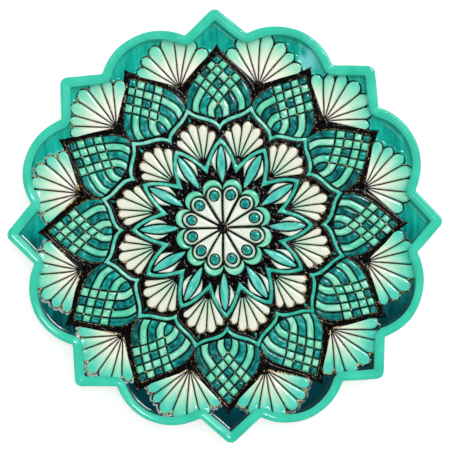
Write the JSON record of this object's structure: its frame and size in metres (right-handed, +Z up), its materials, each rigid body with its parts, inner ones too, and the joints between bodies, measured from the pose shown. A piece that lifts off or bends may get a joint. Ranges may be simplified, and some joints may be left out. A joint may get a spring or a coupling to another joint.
{
  "type": "decorative ceramic plate",
  "caption": "Shallow ceramic plate with a lobed and pointed raised rim, and a hand painted raised enamel mandala on its glazed floor.",
  "frame": {"origin": "middle of the foot ring, on the surface that the plate stands on", "axes": "+Z up out of the dish, +X and +Y through two neighbouring main cusps of the rim"},
  "size_m": [0.1998, 0.1998, 0.017],
  "materials": {
    "clay": "bare fired clay, matt, faintly gritty",
    "turquoise_glaze": "thick opaque gloss glaze, pooled at the edges",
    "teal_glaze": "brushed see-through gloss glaze with streaks",
    "black_ground": "raised black line enamel, gloss, slightly bumpy",
    "mint_enamel": "raised gloss enamel, pale in the middle of each field",
    "turquoise_enamel": "raised gloss enamel",
    "deep_teal_enamel": "raised gloss enamel, darker where it is thin",
    "cream_enamel": "raised gloss enamel, cream with a green tinge"
  },
  "bodies": {
    "root": {"clay_floor": "clay", "clay_wall": "clay", "foot_ring": "clay", "rim_glaze": "turquoise_glaze", "floor_glaze": "teal_glaze", "black_ground": "black_ground", "scallop_band": "mint_enamel", "star_band": "turquoise_enamel", "centre_rosette": "cream_enamel", "centre_boss": "black_ground", "weave_petal_01": "deep_teal_enamel", "weave_petal_02": "deep_teal_enamel", "weave_petal_03": "deep_teal_enamel", "weave_petal_04": "deep_teal_enamel", "weave_petal_05": "deep_teal_enamel", "weave_petal_06": "deep_teal_enamel", "weave_petal_07": "deep_teal_enamel", "weave_petal_08": "deep_teal_enamel", "weave_petal_09": "deep_teal_enamel", "weave_petal_10": "deep_teal_enamel", "weave_petal_11": "deep_teal_enamel", "weave_petal_12": "deep_teal_enamel", "outer_fan_01": "mint_enamel", "outer_fan_02": "mint_enamel", "outer_fan_03": "mint_enamel", "outer_fan_04": "mint_enamel", "outer_fan_05": "mint_enamel", "outer_fan_06": "mint_enamel", "outer_fan_07": "mint_enamel", "outer_fan_08": "mint_enamel", "outer_fan_09": "mint_enamel", "outer_fan_10": "mint_enamel", "outer_fan_11": "mint_enamel", "outer_fan_12": "mint_enamel", "inner_fan_01": "cream_enamel", "inner_fan_02": "cream_enamel", "inner_fan_03": "cream_enamel", "inner_fan_04": "cream_enamel", "inner_fan_05": "cream_enamel", "inner_fan_06": "cream_enamel", "inner_fan_07": "cream_enamel", "inner_fan_08": "cream_enamel", "inner_fan_09": "cream_enamel", "inner_fan_10": "cream_enamel", "inner_fan_11": "cream_enamel", "inner_fan_12": "cream_enamel", "leaf_petal_01": "turquoise_enamel", "leaf_petal_02": "turquoise_enamel", "leaf_petal_03": "turquoise_enamel", "leaf_petal_04": "turquoise_enamel", "leaf_petal_05": "turquoise_enamel", "leaf_petal_06": "turquoise_enamel", "leaf_petal_07": "turquoise_enamel", "leaf_petal_08": "turquoise_enamel", "leaf_petal_09": "turquoise_enamel", "leaf_petal_10": "turquoise_enamel", "leaf_petal_11": "turquoise_enamel", "leaf_petal_12": "turquoise_enamel"}
  },
  "joints": []
}
